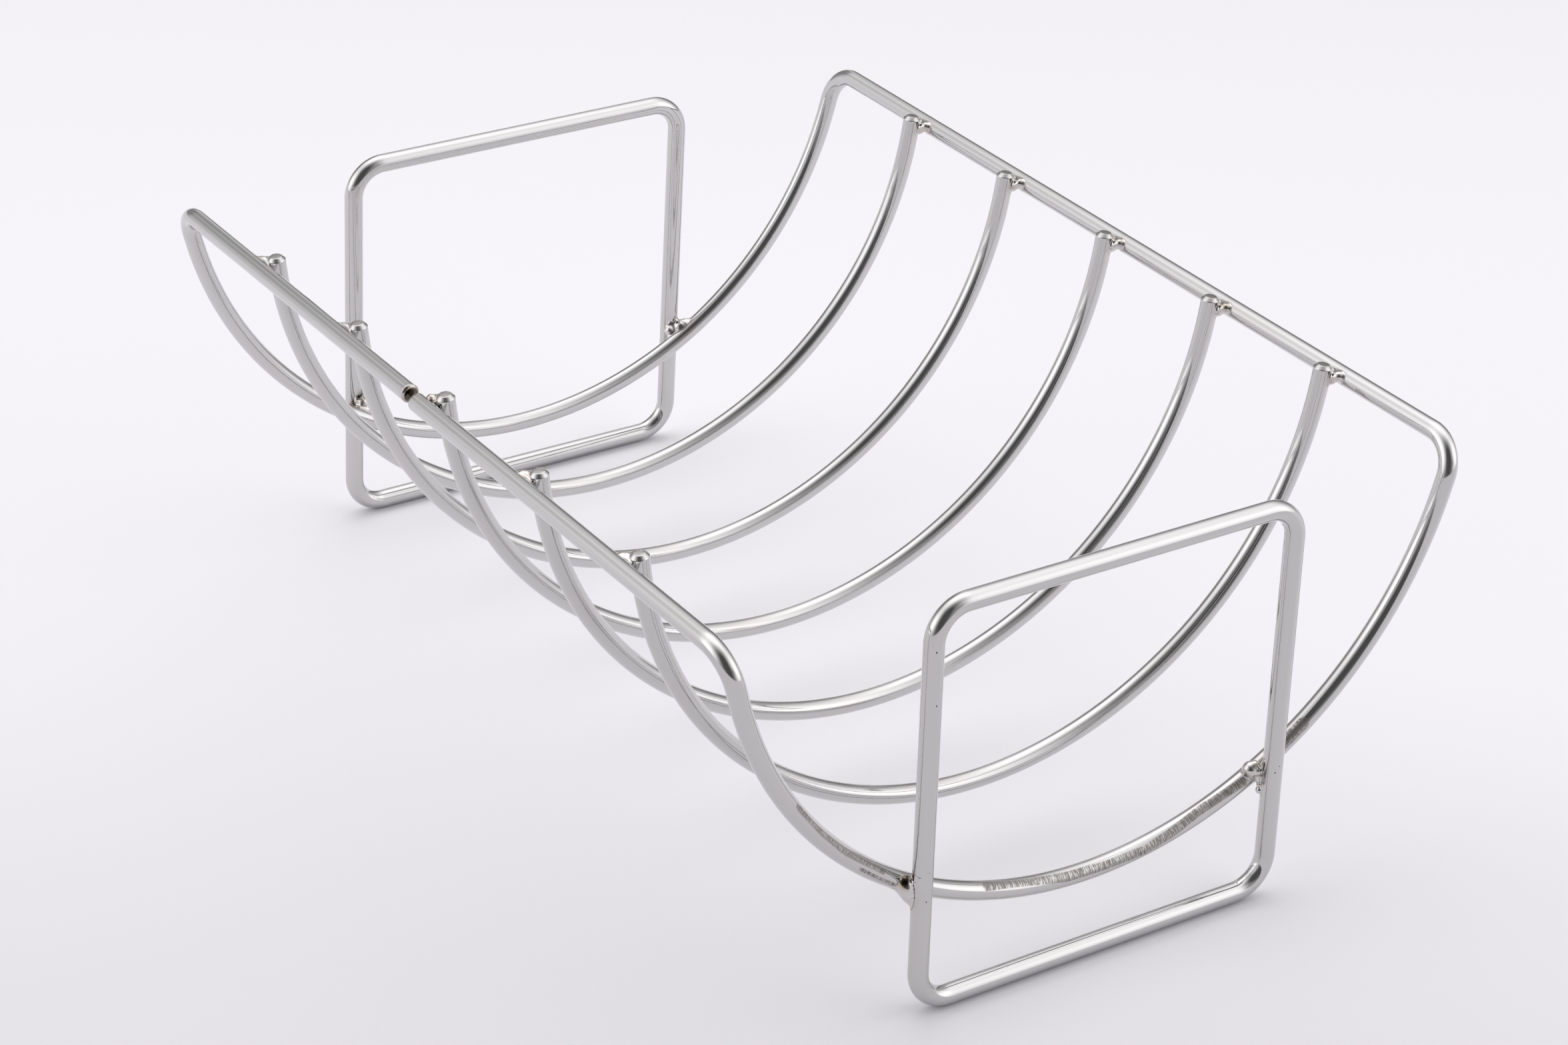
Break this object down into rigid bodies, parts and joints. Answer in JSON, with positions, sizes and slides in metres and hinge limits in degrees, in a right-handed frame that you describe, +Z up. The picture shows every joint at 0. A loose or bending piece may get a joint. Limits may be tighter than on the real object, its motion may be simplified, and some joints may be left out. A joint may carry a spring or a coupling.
{
  "type": "roasting rack",
  "caption": "Half-round cradle of welded stainless wire that holds a roast above the pan, standing on a rectangular wire frame at each end.",
  "frame": {"origin": "on the surface the rack stands on, under the middle of the cradle", "axes": "+X along the rails, +Y across the cradle, +Z up"},
  "size_m": [0.293, 0.2181, 0.1144],
  "materials": {
    "rim_wire": "electropolished stainless steel, lightly scuffed",
    "rib_wire": "electropolished stainless steel",
    "frame_wire": "satin stainless steel, lightly scuffed",
    "weld": "glossy weld metal with faint brown heat tint"
  },
  "bodies": {
    "root": {"rim_wire": "rim_wire", "rib_1": "rib_wire", "rib_2": "rib_wire", "rib_3": "rib_wire", "rib_4": "rib_wire", "rib_5": "rib_wire", "end_frame_left": "frame_wire", "end_frame_right": "frame_wire", "near_weld_1": "weld", "near_weld_2": "weld", "near_weld_3": "weld", "near_weld_4": "weld", "near_weld_5": "weld", "far_weld_1": "weld", "far_weld_2": "weld", "far_weld_3": "weld", "far_weld_4": "weld", "far_weld_5": "weld", "frame_weld_left_near": "weld", "frame_weld_left_far": "weld", "frame_weld_right_near": "weld", "frame_weld_right_far": "weld"}
  },
  "joints": []
}
